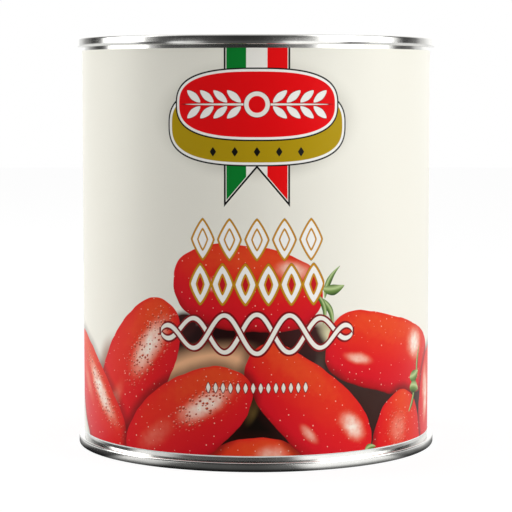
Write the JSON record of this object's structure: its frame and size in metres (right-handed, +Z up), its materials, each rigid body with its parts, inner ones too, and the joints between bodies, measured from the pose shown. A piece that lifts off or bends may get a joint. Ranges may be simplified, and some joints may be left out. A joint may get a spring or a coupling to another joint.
{
  "type": "tin of tomatoes",
  "caption": "Large catering food tin with double-seamed ends, sealed, in a cream paper label printed with plum tomatoes, a tricolour ribbon and a plain red badge.",
  "frame": {"origin": "centre of the circle that the lower rim stands on", "axes": "+Z up along the tin's axis; the label's front faces -Y and its lap is at +Y; +X is to the right of the front"},
  "size_m": [0.1572, 0.1572, 0.1778],
  "materials": {
    "tinplate_body": "bright rolled tinplate",
    "tinplate_ends": "bright pressed tinplate",
    "label_paper": "coated paper, printed"
  },
  "bodies": {
    "root": {"can_body": "tinplate_body", "top_end": "tinplate_ends", "bottom_end": "tinplate_ends", "label": "label_paper"}
  },
  "joints": []
}
